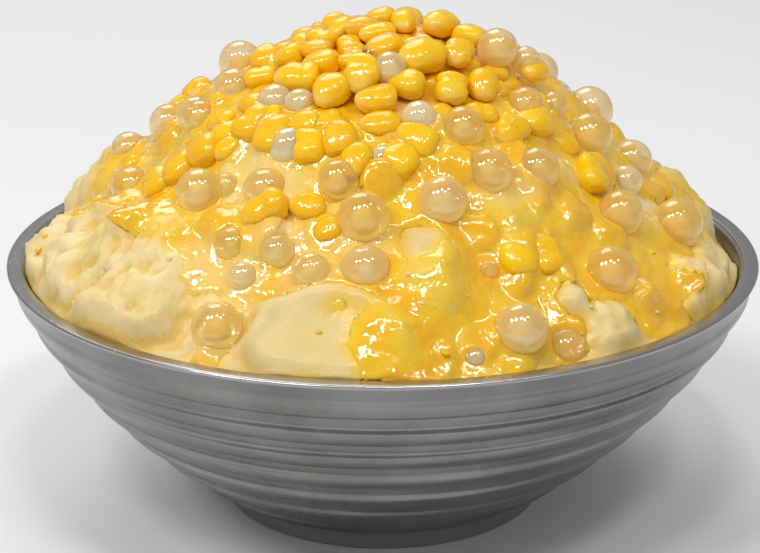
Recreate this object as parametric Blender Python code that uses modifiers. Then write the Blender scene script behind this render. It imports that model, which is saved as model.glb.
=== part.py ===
"""A bowl of shaved ice heaped above the rim, with sweetcorn and jelly pearls.

Metres, +Z up. The origin is the middle of the foot's underside, and the diner
sits at -Y. Every food piece is placed by its bearing round the bowl, counted
from the diner anticlockwise as seen from above, and its distance from the axis.
"""

import math

import bmesh
import bpy
from mathutils import Matrix, Vector, noise

# Bowl: driving dimensions.
RIM_RADIUS = 0.085
BOWL_HEIGHT = 0.0583
WALL = 0.0036
FLARE_SLOPE = 0.38
FLARE_CURVE = 8.7
FOOT_RADIUS = 0.0372
FOOT_HEIGHT = 0.0046
FOOT_WALL = 0.0032
BASE_THICKNESS = 0.0042
RIM_BEVEL = 0.0004
RIB_PITCH = 0.0074
RIB_DEPTH = 0.0007
RIB_COUNT = 6
FIRST_RIB = 0.0047
INNER_CORNER = 0.006
INNER_STEPS = 4
LOWEST_STEP = 0.35
BEARINGS = 36
MERGE_DISTANCE = 0.0001

# Heap of ice: a cone whose top is rounded off, with a skirt level with the rim
# that drops away at the back.
CONE_LEVEL = 0.0762
CROWN_LEVEL = 0.0462
CROWN_FALL = 0.12
CROWN_BLEND = 0.010
SKIRT_LEVEL = -0.0025
SKIRT_BLEND = 0.006
BACK_DROP = 0.0140
LOBE_FULLNESS = 0.6
ICE_UNEVENNESS = 0.0009
ICE_UNEVENNESS_SIZE = 0.0111
FLOOR_CORNER = 0.0066
ICE_RINGS = 10
RING_SPREAD = 0.85
WALL_RINGS = 3

# Room between the ice and the bowl, room round each topping, and the reach
# over which the slope of the ice is taken.
GAP = 0.0003
SEAT_ROOM = 0.00054
SLOPE_STEP = 0.003

# Heap of loose corn on the crown.
CORN_MIDDLE = (0.0030, -0.0005)
CORN_RADIUS = 0.0330
CORN_THICKNESS = 0.0082
CORN_EDGE = 0.0024
CORN_DOME = 1.8
CORN_WANDER = 0.10
CORN_RINGS = 12
CORN_TOP_RINGS = 9
KERNEL_SIZE = 0.0085
KERNEL_RELIEF = 0.0014

# Single kernel of corn: half its width, half its length, half its thickness. Kernels
# in a clump stand at a pitch, fan out per metre of length, and bend per metre of width.
KERNEL_HALF = (0.0043, 0.0048, 0.0031)
KERNEL_FULLNESS = 2.4
KERNEL_PITCH = 0.0066
KERNEL_SIDES = 7
CLUMP_FAN = 14
CLUMP_BEND = 8
CLUMP_SUNK = 0.34

# Drifts and scoops of ice: bearing, distance from the axis, half length round
# the bowl, half width up the slope, height, and turn of the long side.
LOBES = (
    (-54, 0.0690, 0.0250, 0.0140, 0.0050, 12),
    (-80, 0.0740, 0.0150, 0.0090, 0.0036, -10),
    (-7, 0.0710, 0.0200, 0.0100, 0.0042, -6),
    (8, 0.0610, 0.0100, 0.0120, 0.0034, 20),
    (37, 0.0740, 0.0070, 0.0070, 0.0026, 0),
    (66, 0.0730, 0.0150, 0.0090, 0.0034, 15),
    (100, 0.0690, 0.0160, 0.0100, 0.0038, -12),
    (142, 0.0600, 0.0170, 0.0110, 0.0042, 10),
    (183, 0.0560, 0.0150, 0.0120, 0.0040, -8),
    (222, 0.0600, 0.0180, 0.0100, 0.0044, 14),
    (258, 0.0640, 0.0130, 0.0110, 0.0036, 0),
)

# Jelly pearls: bearing, distance from the axis, diameter, share pressed into the ice.
# Each is a little flatter than round.
PEARL_FLATNESS = 0.96
PEARLS = (
    (-4, 0.0530, 0.0112, 0.36),
    (-29, 0.0496, 0.0100, 0.50),
    (13, 0.0515, 0.0104, 0.36),
    (25, 0.0386, 0.0096, 0.36),
    (27, 0.0468, 0.0106, 0.36),
    (41, 0.0480, 0.0100, 0.36),
    (71, 0.0465, 0.0104, 0.36),
    (54, 0.0368, 0.0084, 0.36),
    (97, 0.0460, 0.0114, 0.36),
    (86, 0.0550, 0.0100, 0.40),
    (57, 0.0590, 0.0104, 0.36),
    (71, 0.0670, 0.0114, 0.40),
    (44, 0.0668, 0.0114, 0.40),
    (-21, 0.0590, 0.0076, 0.45),
    (-13, 0.0630, 0.0080, 0.45),
    (-27, 0.0722, 0.0112, 0.40),
    (-3, 0.0612, 0.0106, 0.40),
    (22, 0.0722, 0.0114, 0.36),
    (30, 0.0750, 0.0100, 0.72),
    (-45, 0.0530, 0.0104, 0.36),
    (-73, 0.0570, 0.0094, 0.45),
    (-68, 0.0420, 0.0086, 0.40),
    (128, 0.0500, 0.0108, 0.36),
    (160, 0.0560, 0.0104, 0.36),
    (200, 0.0470, 0.0110, 0.36),
    (236, 0.0520, 0.0102, 0.36),
    (-11, 0.0470, 0.0088, 0.42),
)

# Clumps of corn: bearing, distance from the axis, kernels side by side, turn.
CLUMPS = (
    (-17, 0.0403, 2, 20),
    (7, 0.0415, 2, 50),
    (59, 0.0512, 1, 62),
    (-58, 0.0500, 3, 55),
    (82, 0.0632, 2, 60),
    (29, 0.0610, 2, 0),
    (-38, 0.0400, 2, -15),
    (110, 0.0570, 2, 30),
    (145, 0.0430, 2, -20),
    (218, 0.0560, 3, 15),
    (255, 0.0460, 2, -40),
)

METAL = ("brushed_metal", (0.30, 0.30, 0.29, 1.0), 0.34, 1.0)
ICE = ("milk_ice", (0.95, 0.84, 0.50, 1.0), 0.42, 0.0)
CORN = ("sweetcorn", (0.96, 0.58, 0.02, 1.0), 0.24, 0.0)
JELLY = ("jelly", (0.86, 0.66, 0.36, 0.75), 0.08, 0.0)


def clear_scene():
    for obj in list(bpy.data.objects):
        bpy.data.objects.remove(obj, do_unlink=True)


def new_collection(name):
    collection = bpy.data.collections.new(name)
    bpy.context.scene.collection.children.link(collection)
    return collection


def make_material(finish):
    name, colour, roughness, metallic = finish
    material = bpy.data.materials.new(name)
    material.use_nodes = True
    shader = material.node_tree.nodes["Principled BSDF"]
    shader.inputs["Base Color"].default_value = colour
    shader.inputs["Roughness"].default_value = roughness
    shader.inputs["Metallic"].default_value = metallic
    return material


def add_object(name, mesh, collection, material):
    obj = bpy.data.objects.new(name, mesh)
    obj.data.materials.append(material)
    collection.objects.link(obj)
    return obj


def mesh_from(bm, name):
    bmesh.ops.recalc_face_normals(bm, faces=bm.faces)
    mesh = bpy.data.meshes.new(name)
    bm.to_mesh(mesh)
    bm.free()
    mesh.shade_smooth()
    return mesh


def smooth_min(a, b, width):
    """The lesser of a and b, with the corner between them rounded over width."""
    share = min(max(0.5 + 0.5 * (b - a) / width, 0.0), 1.0)
    return b * (1 - share) + a * share - width * share * (1 - share)


def on_bearing(bearing, distance):
    """Plan position of a bearing in degrees and a distance from the axis."""
    angle = math.radians(bearing)
    return Vector((distance * math.sin(angle), -distance * math.cos(angle)))


# Bowl


def outer_radius(depth):
    """Radius of the flared wall at a depth below the rim, without its ribs."""
    return RIM_RADIUS - FLARE_SLOPE * depth - FLARE_CURVE * depth * depth


def inner_radius(depth):
    return outer_radius(depth) - WALL


def bowl_profile():
    """Half section from the middle of the inside, over the rim, to the recess under the foot."""
    inner_floor = FOOT_HEIGHT + BASE_THICKNESS
    wall_depth = BOWL_HEIGHT - inner_floor
    points = [(0.0, inner_floor), (inner_radius(wall_depth) - INNER_CORNER, inner_floor)]
    for step in range(INNER_STEPS):
        depth = wall_depth * (1 - (step + LOWEST_STEP) / INNER_STEPS)
        points.append((inner_radius(depth), BOWL_HEIGHT - depth))
    points.append((RIM_RADIUS - WALL, BOWL_HEIGHT))
    points.append((RIM_RADIUS - RIM_BEVEL, BOWL_HEIGHT))
    points.append((RIM_RADIUS, BOWL_HEIGHT - RIM_BEVEL))
    for rib in range(RIB_COUNT):
        top = FIRST_RIB + rib * RIB_PITCH
        crest = top + RIB_PITCH / 2
        points.append((outer_radius(top), BOWL_HEIGHT - top))
        points.append((outer_radius(crest) + RIB_DEPTH, BOWL_HEIGHT - crest))
    last = FIRST_RIB + RIB_COUNT * RIB_PITCH
    points.append((outer_radius(last), BOWL_HEIGHT - last))
    points.append((FOOT_RADIUS, FOOT_HEIGHT))
    points.append((FOOT_RADIUS, 0.0))
    points.append((FOOT_RADIUS - FOOT_WALL, 0.0))
    points.append((FOOT_RADIUS - FOOT_WALL, FOOT_HEIGHT))
    points.append((0.0, FOOT_HEIGHT))
    return points


def make_bowl(collection, material):
    points = bowl_profile()
    mesh = bpy.data.meshes.new("bowl")
    edges = [(index, index + 1) for index in range(len(points) - 1)]
    mesh.from_pydata([(x, 0.0, z) for x, z in points], edges, [])
    bowl = add_object("bowl", mesh, collection, material)
    turn = bowl.modifiers.new("turn", "SCREW")
    turn.steps = BEARINGS
    turn.render_steps = BEARINGS
    turn.use_merge_vertices = True
    turn.merge_threshold = MERGE_DISTANCE
    turn.use_smooth_shade = True
    return bowl


# Ice


def lobe_height(place):
    """Height that the drifts and scoops add at a plan position: the highest one there counts."""
    highest = 0.0
    for bearing, distance, half_length, half_width, height, turn in LOBES:
        offset = place - on_bearing(bearing, distance)
        heading = math.radians(bearing + turn)
        along = offset.x * math.cos(heading) + offset.y * math.sin(heading)
        across = offset.x * math.sin(heading) - offset.y * math.cos(heading)
        reach = (along / half_length) ** 2 + (across / half_width) ** 2
        if reach < 1:
            highest = max(highest, height * (1 - reach) ** LOBE_FULLNESS)
    return highest


def ice_height(place):
    """Height of the ice above the foot at a plan position."""
    distance = place.length
    towards_back = 0.5 + 0.5 * place.y / max(distance, 1e-6)
    outward = min(distance / RIM_RADIUS, 1.0) ** 2
    drop = BACK_DROP * towards_back**3
    cone = CONE_LEVEL - distance - 0.5 * drop * outward
    crown = CROWN_LEVEL - CROWN_FALL * distance
    mound = smooth_min(cone, crown, CROWN_BLEND)
    heap = -smooth_min(-mound, drop - SKIRT_LEVEL, SKIRT_BLEND)
    rough = ICE_UNEVENNESS * noise.noise(Vector((place.x, place.y, 0.0)) / ICE_UNEVENNESS_SIZE)
    return BOWL_HEIGHT + heap + lobe_height(place) + rough


def fill_radius(bearing):
    """Distance from the axis at which the ice meets the wall, on this bearing."""
    low = 0.5 * RIM_RADIUS
    high = RIM_RADIUS
    for _ in range(30):
        middle = 0.5 * (low + high)
        depth = max(BOWL_HEIGHT - ice_height(on_bearing(bearing, middle)), 0.0)
        if middle < inner_radius(depth) - 2 * GAP:
            low = middle
        else:
            high = middle
    return low


def make_ice(collection, material):
    """A ball pulled into shape: its upper half is the heap, its lower half is pressed to the wall."""
    rings = ICE_RINGS + WALL_RINGS
    floor = FOOT_HEIGHT + BASE_THICKNESS + GAP
    bm = bmesh.new()
    bmesh.ops.create_uvsphere(bm, u_segments=BEARINGS, v_segments=rings, radius=1.0)
    for vert in bm.verts:
        ring = round(math.acos(max(-1.0, min(1.0, vert.co.z))) / math.pi * rings)
        bearing = round(math.degrees(math.atan2(vert.co.x, -vert.co.y)), 4)
        edge = fill_radius(bearing)
        edge_height = ice_height(on_bearing(bearing, edge))
        if ring <= ICE_RINGS:
            place = on_bearing(bearing, edge * (ring / ICE_RINGS) ** RING_SPREAD)
            vert.co = (place.x, place.y, ice_height(place))
        elif ring < rings:
            share = (ring - ICE_RINGS) / (WALL_RINGS - 1)
            height = edge_height + (floor - edge_height) * share
            radius = inner_radius(BOWL_HEIGHT - height) - 2 * GAP
            if ring == rings - 1:
                radius -= FLOOR_CORNER
            place = on_bearing(bearing, radius)
            vert.co = (place.x, place.y, height)
        else:
            vert.co = (0.0, 0.0, floor)
    bmesh.ops.triangulate(bm, faces=bm.faces)
    return add_object("shaved_ice", mesh_from(bm, "shaved_ice"), collection, material)


def ice_frame(bearing, distance, turn=0.0):
    """Frame on the ice: Z out of the surface, X round the bowl, then turned about Z."""
    place = on_bearing(bearing, distance)
    sideways = Vector((SLOPE_STEP, 0))
    forwards = Vector((0, SLOPE_STEP))
    slope_x = ice_height(place + sideways) - ice_height(place - sideways)
    slope_y = ice_height(place + forwards) - ice_height(place - forwards)
    normal = Vector((-slope_x, -slope_y, 2 * SLOPE_STEP)).normalized()
    angle = math.radians(bearing)
    around = Vector((math.cos(angle), math.sin(angle), 0.0))
    around = (around - normal * around.dot(normal)).normalized()
    frame = Matrix((around, normal.cross(around), normal)).transposed().to_4x4()
    frame.translation = (place.x, place.y, ice_height(place))
    return frame @ Matrix.Rotation(math.radians(turn), 4, "Z")


# Toppings


def make_corn_heap(collection, material):
    """The pile of loose kernels on the crown: it lies on the ice and is knobbly with kernels."""
    bm = bmesh.new()
    bmesh.ops.create_uvsphere(bm, u_segments=BEARINGS, v_segments=CORN_RINGS, radius=1.0)
    for vert in bm.verts:
        ring = round(math.acos(max(-1.0, min(1.0, vert.co.z))) / math.pi * CORN_RINGS)
        bearing = round(math.degrees(math.atan2(vert.co.x, -vert.co.y)), 4)
        share = min(ring / CORN_TOP_RINGS, (CORN_RINGS - ring) / (CORN_RINGS - CORN_TOP_RINGS))
        wavy = noise.noise(on_bearing(bearing, 1.0).to_3d() + Vector((0.0, 0.0, 2.0)))
        flat = on_bearing(bearing, CORN_RADIUS * share)
        place = flat * (1 + CORN_WANDER * wavy) + Vector(CORN_MIDDLE)
        height = ice_height(place) + 3 * GAP
        if ring <= CORN_TOP_RINGS:
            knob = 1.0 - 2.0 * noise.voronoi(Vector((place.x, place.y, 0.0)) / KERNEL_SIZE)[0][0]
            thickness = CORN_EDGE + (CORN_THICKNESS - CORN_EDGE) * (1 - share**CORN_DOME)
            height += thickness + KERNEL_RELIEF * knob
        vert.co = (place.x, place.y, height)
    bmesh.ops.triangulate(bm, faces=bm.faces)
    return add_object("corn_heap", mesh_from(bm, "corn_heap"), collection, material)


def make_pearl(name, diameter, collection, material):
    """A soft ball of jelly, pressed a little flat under its own weight."""
    bm = bmesh.new()
    bmesh.ops.create_icosphere(bm, subdivisions=2, radius=diameter / 2)
    for vert in bm.verts:
        vert.co.z *= PEARL_FLATNESS
    return add_object(name, mesh_from(bm, name), collection, material)


def make_clump(name, kernels, collection, material):
    """Kernels still joined side by side along X, fanned a little as on the cob."""
    length = KERNEL_PITCH * (kernels - 1) / 2 + KERNEL_HALF[0]
    stations = 2 * kernels + 2
    bm = bmesh.new()
    bmesh.ops.create_uvsphere(bm, u_segments=KERNEL_SIDES, v_segments=stations, radius=1.0)
    for vert in bm.verts:
        station = round(math.acos(max(-1.0, min(1.0, vert.co.z))) / math.pi * stations)
        x = length * (2 * station / stations - 1)
        kernel = min(max(round(x / KERNEL_PITCH + (kernels - 1) / 2), 0), kernels - 1)
        middle = (kernel - (kernels - 1) / 2) * KERNEL_PITCH
        away = min(abs(x - middle) / KERNEL_HALF[0], 1.0)
        girth = math.sqrt(1 - away**KERNEL_FULLNESS)
        around = math.atan2(vert.co.y, vert.co.x)
        y = KERNEL_HALF[1] * girth * math.cos(around)
        z = KERNEL_HALF[2] * girth * math.sin(around)
        vert.co = (x * (1 + CLUMP_FAN * y), y - CLUMP_BEND * x * x, z)
    bmesh.ops.triangulate(bm, faces=bm.faces)
    return add_object(name, mesh_from(bm, name), collection, material)


def seat(obj, frame, lift):
    """Stands a topping on the ice, its middle raised by lift above the surface."""
    obj.matrix_world = frame @ Matrix.Translation((0.0, 0.0, lift))
    bpy.context.view_layer.update()


def cut_seats(bodies, toppings, collection):
    """Presses a seat for every topping into the ice and the corn, with a hair of room all round."""
    bm = bmesh.new()
    for topping in toppings:
        grown = topping.data.copy()
        for vert in grown.vertices:
            vert.co += vert.normal * SEAT_ROOM
        grown.transform(topping.matrix_world)
        bm.from_mesh(grown)
    cutter = bpy.data.objects.new("seat_cutter", mesh_from(bm, "seat_cutter"))
    collection.objects.link(cutter)
    cutter.hide_render = True
    cutter.display_type = "WIRE"
    for body in bodies:
        cut = body.modifiers.new("seats", "BOOLEAN")
        cut.operation = "DIFFERENCE"
        cut.solver = "EXACT"
        cut.use_self = True
        cut.object = cutter


def main():
    clear_scene()
    parts = new_collection("shaved_ice_dessert")
    cutters = new_collection("cutters")
    metal = make_material(METAL)
    milk = make_material(ICE)
    corn = make_material(CORN)
    jelly = make_material(JELLY)
    make_bowl(parts, metal)
    ice = make_ice(parts, milk)
    heap = make_corn_heap(parts, corn)
    toppings = []
    for number, (bearing, distance, diameter, sunk) in enumerate(PEARLS, 1):
        pearl = make_pearl(f"pearl_{number:02d}", diameter, parts, jelly)
        seat(pearl, ice_frame(bearing, distance), diameter * (0.5 - sunk))
        toppings.append(pearl)
    for number, (bearing, distance, kernels, turn) in enumerate(CLUMPS, 1):
        clump = make_clump(f"corn_{number:02d}", kernels, parts, corn)
        seat(clump, ice_frame(bearing, distance, turn), 2 * KERNEL_HALF[2] * (0.5 - CLUMP_SUNK))
        toppings.append(clump)
    cut_seats((ice, heap), toppings, cutters)


main()
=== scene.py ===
"""Looks of the shaved ice dessert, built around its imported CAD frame.

Metres, +Z up, the diner at -Y. A bearing is counted in degrees from the diner
towards +X, and a distance is counted from the bowl's axis.
"""

import math
import random

import bmesh
import bpy
import numpy as np
from mathutils import Matrix, Vector, noise
from mathutils.bvhtree import BVHTree


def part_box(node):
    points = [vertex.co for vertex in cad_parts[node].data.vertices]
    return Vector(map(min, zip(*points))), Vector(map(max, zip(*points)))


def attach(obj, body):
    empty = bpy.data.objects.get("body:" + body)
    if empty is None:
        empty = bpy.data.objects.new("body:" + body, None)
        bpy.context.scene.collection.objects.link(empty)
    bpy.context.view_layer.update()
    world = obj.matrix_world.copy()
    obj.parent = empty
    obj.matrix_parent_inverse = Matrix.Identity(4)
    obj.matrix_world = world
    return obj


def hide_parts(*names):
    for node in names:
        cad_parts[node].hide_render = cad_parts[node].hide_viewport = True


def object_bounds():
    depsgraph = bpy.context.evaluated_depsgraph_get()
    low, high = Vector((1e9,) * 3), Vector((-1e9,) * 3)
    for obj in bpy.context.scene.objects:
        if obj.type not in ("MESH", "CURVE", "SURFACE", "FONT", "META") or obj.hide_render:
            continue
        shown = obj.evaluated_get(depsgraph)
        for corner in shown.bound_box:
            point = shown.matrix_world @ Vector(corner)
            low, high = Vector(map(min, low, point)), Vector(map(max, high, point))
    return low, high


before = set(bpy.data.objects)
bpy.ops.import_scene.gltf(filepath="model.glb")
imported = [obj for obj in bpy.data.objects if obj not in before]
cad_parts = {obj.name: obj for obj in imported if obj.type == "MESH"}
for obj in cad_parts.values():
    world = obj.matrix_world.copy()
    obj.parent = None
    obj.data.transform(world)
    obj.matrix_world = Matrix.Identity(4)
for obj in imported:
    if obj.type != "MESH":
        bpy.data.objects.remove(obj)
CAD_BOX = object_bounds()

MM = 0.001
SEED = 11
HIGH_ABOVE = 0.3
DOWN = Vector((0, 0, -1))

# Bowl, in the same sizes as the CAD.
BOWL_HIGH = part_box("bowl")[1]
RIM_RADIUS = BOWL_HIGH.x
RIM_LEVEL = BOWL_HIGH.z
WALL = 3.6 * MM
FLARE_SLOPE = 0.38
FLARE_CURVE = 8.7
FOOT_RADIUS = 37.2 * MM
FOOT_HEIGHT = 4.6 * MM
FOOT_WALL = 3.2 * MM
BASE_THICKNESS = 4.2 * MM
RIB_PITCH = 7.4 * MM
RIB_DEPTH = 1.25 * MM
FIRST_RIB = 4.7 * MM
RIM_ROUND = 0.55 * MM
FOOT_EDGE = 0.5 * MM
CORNER_STEPS = 5

# Shares of the ribs' pitch: the step out, the way back, and its tail in the next rib.
RIB_RISE = (0.36, 0.58)
RIB_FALL = (0.62, 1.20)
RIB_TAIL = (-0.38, 0.20)
RIB_TAIL_HEIGHT = 0.33
RIB_FADE = 0.22
RIBS_START = (0.2 * RIB_PITCH, 1.1 * RIB_PITCH)
RIBS_END = (49 * MM, 52 * MM)

# How finely the bowl is turned.
BOWL_COLUMNS = 256
INNER_ROWS = 40
OUTER_ROWS = 150

# Heap of ice, in the same sizes as the CAD.
CONE_LEVEL = 76.2 * MM
CROWN_LEVEL = 46.2 * MM
CROWN_FALL = 0.12
CROWN_BLEND = 10 * MM
SKIRT_LEVEL = -2.5 * MM
SKIRT_BLEND = 6 * MM
BACK_DROP = 14 * MM

# How finely the heap is laid out: few rows under the crown's corn, and many on the slope.
COLUMNS = 560
CROWN_ROWS = 12
SLOPE_ROWS = 100
CROWN_SHARE = 0.30
WALL_ROOM = 0.25 * MM

# Size and height of each kind of relief in the ice and the sauce.
LUMP_WANDER = 0.45
LUMP_WANDER_SIZE = 8 * MM
CLOD_SIZE = 7.5 * MM
CLOD_HEIGHT = 2.4 * MM
GRAIN_SIZE = 1.9 * MM
GRAIN_HEIGHT = 0.22 * MM
BROAD_FOLD_SIZE = 8.0 * MM
BROAD_FOLD_HEIGHT = 1.8 * MM
SMALL_FOLD_SIZE = 3.4 * MM
SMALL_FOLD_HEIGHT = 1.5 * MM
CREASE_HEIGHT = 1.15 * MM
LIP_HEIGHT = 1.7 * MM
HOLLOW_DEPTH = 2.5 * MM
MENISCUS_HEIGHT = 0.80 * MM
MENISCUS_REACH = 0.8 * MM
KERNEL_REACH = 3.6 * MM
KERNEL_MENISCUS_HEIGHT = 0.75 * MM
KERNEL_MENISCUS_REACH = 0.9 * MM
BALL_SINK_SHARE = 0.5

# Corn of the crown: how far out it goes in millimetres, and how deep it sits.
CROWN_EDGE = 34.0
CORE_REACH = 33.5 * MM
CORE_SUNK = 3.4 * MM
CORE_OFFSET = 3 * MM
CROWN_SEAT = 2.8 * MM
TOP_ROOM = 0.1 * MM


def smooth_step(low, high, value):
    share = np.clip((value - low) / (high - low), 0.0, 1.0)
    return share * share * (3 - 2 * share)


def smooth_min(a, b, width):
    share = np.clip(0.5 + 0.5 * (b - a) / width, 0.0, 1.0)
    return b * (1 - share) + a * share - width * share * (1 - share)


def plan(bearing, distance):
    """Plan position of a bearing and a distance, as x and y."""
    angle = np.radians(bearing)
    return distance * np.sin(angle), -distance * np.cos(angle)


def outer_radius(depth):
    return RIM_RADIUS - FLARE_SLOPE * depth - FLARE_CURVE * depth * depth


def inner_radius(depth):
    return outer_radius(depth) - WALL


# Shader writing


class Value:
    """A shader value that takes plain arithmetic: each operator adds its Math node."""

    def __init__(self, finish, socket):
        self.finish = finish
        self.socket = socket

    def math(self, operation, *others):
        return self.finish.add("ShaderNodeMath", {"operation": operation}, dict(enumerate(others)))

    def __add__(self, other):
        return self.math("ADD", self, other)

    def __radd__(self, other):
        return self.math("ADD", other, self)

    def __sub__(self, other):
        return self.math("SUBTRACT", self, other)

    def __rsub__(self, other):
        return self.math("SUBTRACT", other, self)

    def __mul__(self, other):
        return self.math("MULTIPLY", self, other)

    def __rmul__(self, other):
        return self.math("MULTIPLY", other, self)

    def between(self, low, high):
        """0 below low, 1 above high, and smooth in between."""
        sockets = {"Value": self, "From Min": low, "From Max": high}
        return self.finish.add("ShaderNodeMapRange", {"interpolation_type": "SMOOTHSTEP"}, sockets)


class Finish:
    """One material: its Principled shader, and short ways to add nodes that feed it."""

    def __init__(self, name, **constants):
        self.material = bpy.data.materials.new(name)
        self.material.use_nodes = True
        self.tree = self.material.node_tree
        self.shader = self.tree.nodes["Principled BSDF"]
        for socket, value in constants.items():
            self.shader.inputs[socket.replace("_", " ")].default_value = value

    def set(self, socket, value):
        if isinstance(value, Value):
            self.tree.links.new(value.socket, socket)
        else:
            socket.default_value = value

    def add(self, kind, settings=None, sockets=None, output=0):
        """Any node: its settings first, then values or links for its sockets."""
        node = self.tree.nodes.new(kind)
        for name, value in (settings or {}).items():
            setattr(node, name, value)
        for name, value in (sockets or {}).items():
            self.set(node.inputs[name], value)
        return Value(self, node.outputs[output])

    def place(self):
        return self.add("ShaderNodeTexCoord", output="Object")

    def stretched(self, across, around, up):
        """Position on the piece, scaled along X, Y and Z."""
        return self.add("ShaderNodeMapping", None, {"Vector": self.place(), "Scale": (across, around, up)})

    def grain(self, size, detail=2.0, where=None, rough=0.5, warp=0.0):
        """Noise between 0 and 1 whose features are about size metres."""
        sockets = {
            "Vector": where or self.place(),
            "Scale": 1 / size,
            "Detail": detail,
            "Roughness": rough,
            "Distortion": warp,
        }
        return self.add("ShaderNodeTexNoise", None, sockets)

    def measure(self, name):
        """A number stored on the mesh's points."""
        return self.add("ShaderNodeAttribute", {"attribute_name": name}, output="Fac")

    def mix(self, share, first, second):
        """A colour between two: the socket numbers are the node's colour ones."""
        first, second = ((*colour, 1) if isinstance(colour, tuple) else colour for colour in (first, second))
        return self.add("ShaderNodeMix", {"data_type": "RGBA"}, {0: share, 6: first, 7: second}, 2)

    def feed(self, socket, value):
        self.set(self.shader.inputs[socket], value)

    def bump(self, height, depth, strength=1.0):
        """Fine relief: height is 0 to 1, depth in metres."""
        normal = self.add("ShaderNodeBump", None, {"Height": height, "Distance": depth, "Strength": strength})
        self.feed("Normal", normal)


# Meshes


def add_piece(name, mesh, finish, slot, *nodes):
    piece = bpy.data.objects.new(name, mesh)
    bpy.context.scene.collection.objects.link(piece)
    piece.data.materials.append(finish.material)
    mesh.shade_smooth()
    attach(piece, "root")
    if nodes:
        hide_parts(*nodes)


def store(mesh, name, values):
    attribute = mesh.attributes.new(name, "FLOAT", "POINT")
    attribute.data.foreach_set("value", np.asarray(values, np.float32).ravel())


def skin(name, rings, top, bottom):
    """Mesh over rings of points, (rows, columns, 3), closed round each ring and by end points."""
    rows, columns, _ = rings.shape
    points = [tuple(p) for p in rings.reshape(-1, 3)]
    faces = []
    for row in range(rows - 1):
        for column in range(columns):
            after = (column + 1) % columns
            a = row * columns
            b = a + columns
            faces.append((a + column, b + column, b + after, a + after))
    for end, row in ((top, 0), (bottom, rows - 1)):
        points.append(tuple(end))
        for column in range(columns):
            after = (column + 1) % columns
            pair = (row * columns + column, row * columns + after)
            faces.append((len(points) - 1, *(pair if row == 0 else pair[::-1])))
    mesh = bpy.data.meshes.new(name)
    mesh.from_pydata(points, [], faces)
    return mesh


def rows_of_noise(points, size, octaves=1, offset=0.0):
    """Noise at each point of an array (..., 3): about -1 to 1, with features of that size."""
    flat = points.reshape(-1, 3) / size + offset
    values = [noise.fractal(Vector(p), 0.9, 2.0, octaves) for p in flat]
    return np.array(values).reshape(points.shape[:-1])


def ridges(points, size, steep, offset):
    """Narrow ridges between round hollows, -1 to 1: a higher steep makes them narrower."""
    return np.clip(1 - np.abs(rows_of_noise(points, size, 2, offset)) * steep, -1, 1)


def wandering(points, size, shifts):
    """Three noises at each point, as an offset along X, Y and Z."""
    return np.stack([rows_of_noise(points, size, 2, shift) for shift in shifts], axis=-1)


# Bowl


def rib_relief(depth, bearing):
    """Throwing ribs: a quick step out, then a slow way back, fading here and there."""
    phase = ((depth - FIRST_RIB) / RIB_PITCH + 0.5) % 1.0
    step = smooth_step(*RIB_RISE, phase) * (1 - smooth_step(*RIB_FALL, phase))
    tail = 1 - smooth_step(*RIB_TAIL, phase)
    shape = np.maximum(step, tail * RIB_TAIL_HEIGHT)
    inside = smooth_step(*RIBS_START, depth) * (1 - smooth_step(*RIBS_END, depth))
    fade = 1 - RIB_FADE + RIB_FADE * np.sin(np.radians(bearing) * 2 + depth * 90)
    return RIB_DEPTH * shape * inside * fade


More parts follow.
